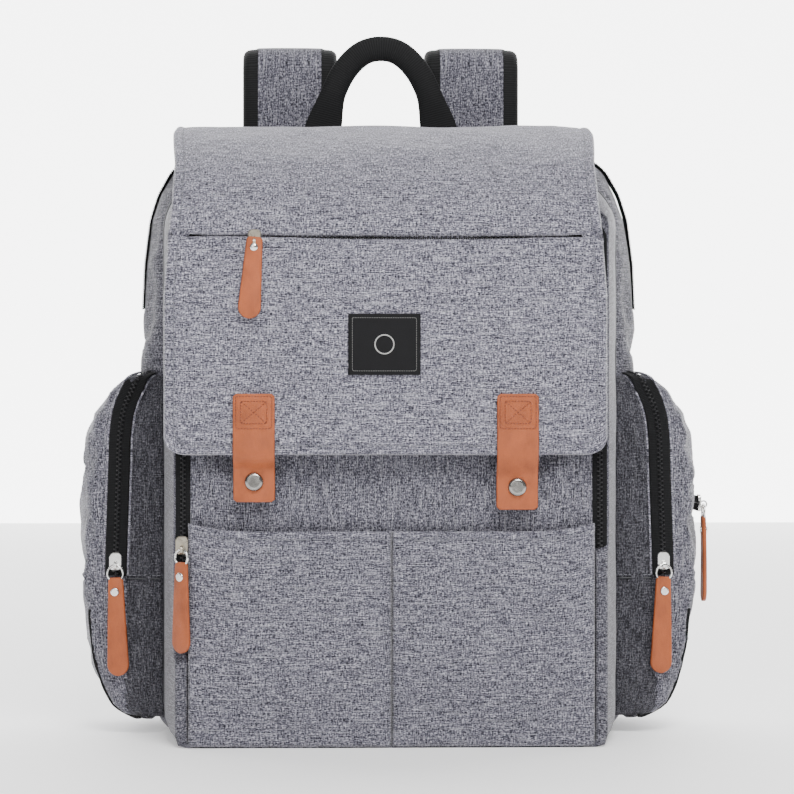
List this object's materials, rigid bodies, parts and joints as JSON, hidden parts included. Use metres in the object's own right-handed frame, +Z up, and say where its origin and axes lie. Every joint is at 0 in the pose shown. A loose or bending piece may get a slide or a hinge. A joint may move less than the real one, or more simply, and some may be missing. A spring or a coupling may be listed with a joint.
{
  "type": "backpack diaper bag",
  "caption": "Soft backpack for baby care: flap with zip and leather snap tabs over a drop-down front, bulging zipped side pockets, padded shoulder straps and a top handle.",
  "frame": {"origin": "middle of the base the bag stands on", "axes": "+Z up, the front with its flap faces -Y, +X to the right seen from the front"},
  "size_m": [0.4239, 0.253, 0.486],
  "materials": {
    "grey_cloth": "heather grey woven polyester",
    "board": "stiff board",
    "zip_tape": "black zip tape",
    "foil_lining": "silver insulating foil cloth",
    "black_webbing": "ribbed black webbing",
    "label_cloth": "black woven label",
    "tan_leather": "smooth tan leather",
    "bright_metal": "polished",
    "dark_metal": "dark polished",
    "buckle_plastic": "moulded black"
  },
  "bodies": {
    "bag": {"main_compartment_shell": "grey_cloth", "bottom_board": "board", "mouth_gussets": "grey_cloth", "back_panel_pad": "grey_cloth", "main_zip_tape": "zip_tape", "front_gusset": "grey_cloth", "front_panel_lower": "grey_cloth", "front_pocket_left": "grey_cloth", "front_pocket_right": "grey_cloth", "front_zip_gusset_tape": "zip_tape", "bottle_pocket_left": "foil_lining", "bottle_pocket_middle": "foil_lining", "bottle_pocket_right": "foil_lining", "left_pocket_shell": "grey_cloth", "left_pocket_front": "grey_cloth", "left_pocket_zip_tape": "zip_tape", "right_pocket_shell": "grey_cloth", "right_pocket_front": "grey_cloth", "right_pocket_zip_tape": "zip_tape", "tissue_zip_tape": "zip_tape", "left_strap_riser": "grey_cloth", "right_strap_riser": "grey_cloth", "left_strap_webbing": "black_webbing", "right_strap_webbing": "black_webbing", "handle_anchors": "black_webbing"},
    "flap_top": {"flap_top": "grey_cloth"},
    "flap_front": {"flap_front": "grey_cloth", "flap_zip_tape": "zip_tape", "label": "label_cloth", "left_tab_anchor": "tan_leather", "right_tab_anchor": "tan_leather"},
    "front_panel": {"front_panel": "grey_cloth", "front_zip_panel_tape": "zip_tape", "snap_studs": "bright_metal"},
    "left_tab": {"left_tab_tongue": "tan_leather", "left_snap_cap": "bright_metal"},
    "right_tab": {"right_tab_tongue": "tan_leather", "right_snap_cap": "bright_metal"},
    "main_zip_slider": {"main_zip_slider": "dark_metal", "main_zip_pull": "tan_leather"},
    "handle": {"handle": "black_webbing"},
    "left_strap": {"left_shoulder_strap": "grey_cloth", "left_strap_buckle": "buckle_plastic"},
    "right_strap": {"right_shoulder_strap": "grey_cloth", "right_strap_buckle": "buckle_plastic"},
    "flap_zip_slider": {"flap_zip_slider": "dark_metal"},
    "flap_zip_pull": {"flap_zip_pull": "tan_leather", "flap_zip_pull_metal": "bright_metal"},
    "front_zip_slider": {"front_zip_slider": "dark_metal"},
    "front_zip_pull": {"front_zip_pull": "tan_leather", "front_zip_pull_metal": "bright_metal"},
    "left_pocket_slider": {"left_pocket_slider": "bright_metal"},
    "left_pocket_pull": {"left_pocket_pull": "tan_leather", "left_pocket_pull_metal": "bright_metal"},
    "right_pocket_slider": {"right_pocket_slider": "bright_metal"},
    "right_pocket_pull": {"right_pocket_pull": "tan_leather", "right_pocket_pull_metal": "bright_metal"},
    "tissue_zip_slider": {"tissue_zip_slider": "bright_metal"},
    "tissue_zip_pull": {"tissue_zip_pull": "tan_leather", "tissue_zip_pull_metal": "bright_metal"}
  },
  "joints": [
    {"name": "flap_lift", "type": "hinge", "parent": "bag", "child": "flap_top", "pos_m": [-0.004, 0.092, 0.411], "axis": [-1, 0, 0], "range_deg": [0, 80]},
    {"name": "flap_fold", "type": "hinge", "parent": "flap_top", "child": "flap_front", "pos_m": [-0.004, -0.0855, 0.3613], "axis": [-1, 0, 0], "range_deg": [0, 130]},
    {"name": "front_panel_drop", "type": "hinge", "parent": "bag", "child": "front_panel", "pos_m": [0, -0.088, 0.1396], "axis": [1, 0, 0], "range_deg": [0, 32.5]},
    {"name": "left_tab_lift", "type": "hinge", "parent": "flap_front", "child": "left_tab", "pos_m": [-0.088, -0.1056, 0.2027], "axis": [-1, 0, 0], "range_deg": [0, 95]},
    {"name": "right_tab_lift", "type": "hinge", "parent": "flap_front", "child": "right_tab", "pos_m": [0.08, -0.1056, 0.2027], "axis": [-1, 0, 0], "range_deg": [0, 95]},
    {"name": "main_zip_slide", "type": "slide", "parent": "bag", "child": "main_zip_slider", "axis": [1, 0, 0], "range_m": [-0.13, 0.06]},
    {"name": "handle_fold", "type": "hinge", "parent": "bag", "child": "handle", "pos_m": [-0.004, 0.0936, 0.412], "axis": [-1, 0, 0], "range_deg": [-80, 0], "stiffness_Nm_per_rad": 0.15},
    {"name": "left_strap_swing", "type": "hinge", "parent": "bag", "child": "left_strap", "pos_m": [-0.07, 0.1233, 0.4805], "axis": [1, 0, 0], "range_deg": [0, 12]},
    {"name": "right_strap_swing", "type": "hinge", "parent": "bag", "child": "right_strap", "pos_m": [0.062, 0.1233, 0.4805], "axis": [1, 0, 0], "range_deg": [0, 12]},
    {"name": "flap_zip_slide", "type": "slide", "parent": "flap_front", "child": "flap_zip_slider", "axis": [1, 0, 0], "range_m": [0, 0.2]},
    {"name": "flap_zip_pull_swing", "type": "hinge", "parent": "flap_zip_slider", "child": "flap_zip_pull", "pos_m": [-0.0875, -0.1075, 0.3231], "axis": [-1, 0, 0], "range_deg": [0, 90]},
    {"name": "front_zip_slide", "type": "slide", "parent": "bag", "child": "front_zip_slider", "axis": [0, 0, 1], "range_m": [0, 0.048]},
    {"name": "front_zip_pull_swing", "type": "hinge", "parent": "front_zip_slider", "child": "front_zip_pull", "pos_m": [-0.1344, -0.096, 0.1275], "axis": [-0.788, 0.6157, 0], "range_deg": [0, 35]},
    {"name": "left_pocket_slide", "type": "slide", "parent": "bag", "child": "left_pocket_slider", "axis": [0.0322, 0, 0.9995], "range_m": [0, 0.08]},
    {"name": "left_pocket_pull_swing", "type": "hinge", "parent": "left_pocket_slider", "child": "left_pocket_pull", "pos_m": [-0.182, -0.0396, 0.1135], "axis": [-0.9945, 0.1045, 0], "range_deg": [0, 90]},
    {"name": "right_pocket_slide", "type": "slide", "parent": "bag", "child": "right_pocket_slider", "axis": [-0.0322, 0, 0.9995], "range_m": [0, 0.08]},
    {"name": "right_pocket_pull_swing", "type": "hinge", "parent": "right_pocket_slider", "child": "right_pocket_pull", "pos_m": [0.182, -0.0396, 0.1135], "axis": [-0.9945, -0.1045, 0], "range_deg": [0, 90]},
    {"name": "tissue_zip_slide", "type": "slide", "parent": "bag", "child": "tissue_zip_slider", "axis": [0, 1, 0], "range_m": [0, 0.045]},
    {"name": "tissue_zip_pull_swing", "type": "hinge", "parent": "tissue_zip_slider", "child": "tissue_zip_pull", "pos_m": [0.2141, -0.002, 0.152], "axis": [0, -1, 0], "range_deg": [0, 90]}
  ],
  "couplings": [
    {"joint": "front_panel_drop", "follows": "flap_fold", "ratio": 0.25}
  ]
}
